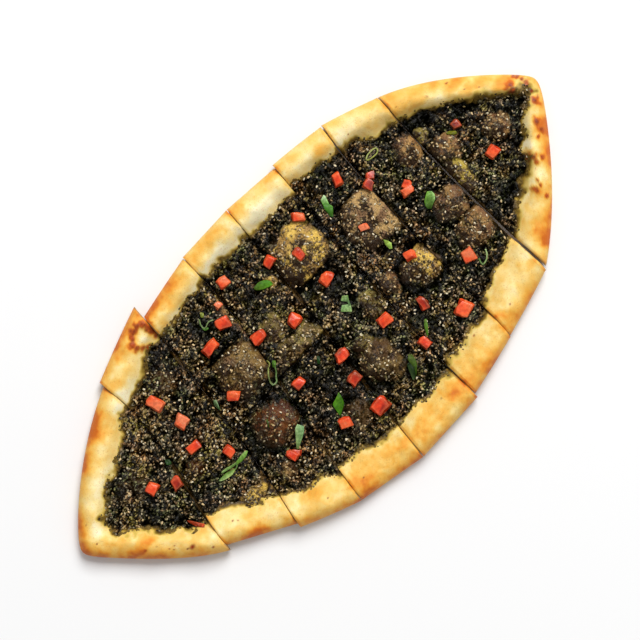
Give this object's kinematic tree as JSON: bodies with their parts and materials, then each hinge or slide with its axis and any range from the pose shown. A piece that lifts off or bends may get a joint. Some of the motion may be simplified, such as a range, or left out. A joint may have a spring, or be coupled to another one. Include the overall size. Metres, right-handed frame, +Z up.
{
  "type": "zaatar fatayer",
  "caption": "Boat-shaped flat bread with a rolled rim, spread with zaatar, scattered with diced tomato and cut greens, baked and cut across into strips that lie together.",
  "frame": {"origin": "middle of the loaf's bounding box, on the flat underside", "axes": "+X along the loaf from its left tip to its right tip, +Z up out of the topping, +Y across the loaf"},
  "size_m": [0.5, 0.239, 0.0204],
  "materials": {
    "crust": "baked wheat crust, cream yellow with golden patches, soft satin",
    "zaatar": "oily dark herb paste with sesame seeds, glistening",
    "tomato": "moist raw tomato flesh",
    "greens": "cut green leaf and spring onion, waxy"
  },
  "bodies": {
    "root": {"bread_1": "crust", "bread_2": "crust", "bread_3": "crust", "bread_4": "crust", "bread_5": "crust", "bread_6": "crust", "bread_7": "crust", "bread_8": "crust", "zaatar_1": "zaatar", "zaatar_2": "zaatar", "zaatar_3": "zaatar", "zaatar_4": "zaatar", "zaatar_5": "zaatar", "zaatar_6": "zaatar", "zaatar_7": "zaatar", "zaatar_8": "zaatar", "tomato_01": "tomato", "tomato_02": "tomato", "tomato_03": "tomato", "tomato_04": "tomato", "tomato_05": "tomato", "tomato_06": "tomato", "tomato_07": "tomato", "tomato_08": "tomato", "tomato_09": "tomato", "tomato_10": "tomato", "tomato_11": "tomato", "tomato_12": "tomato", "tomato_13": "tomato", "tomato_14": "tomato", "tomato_15": "tomato", "tomato_16": "tomato", "tomato_17": "tomato", "tomato_18": "tomato", "tomato_19": "tomato", "tomato_20": "tomato", "tomato_21": "tomato", "tomato_22": "tomato", "tomato_23": "tomato", "tomato_24": "tomato", "tomato_25": "tomato", "tomato_26": "tomato", "tomato_27": "tomato", "tomato_28": "tomato", "tomato_29": "tomato", "tomato_30": "tomato", "tomato_31": "tomato", "tomato_32": "tomato", "tomato_33": "tomato", "tomato_34": "tomato", "tomato_35": "tomato", "forked_leaf": "greens", "long_leaf": "greens", "diamond_leaf": "greens", "curled_leaf": "greens", "sprig": "greens", "onion_slice_1": "greens", "onion_slice_2": "greens", "onion_slice_3": "greens", "crumpled_leaf": "greens"}
  },
  "joints": []
}
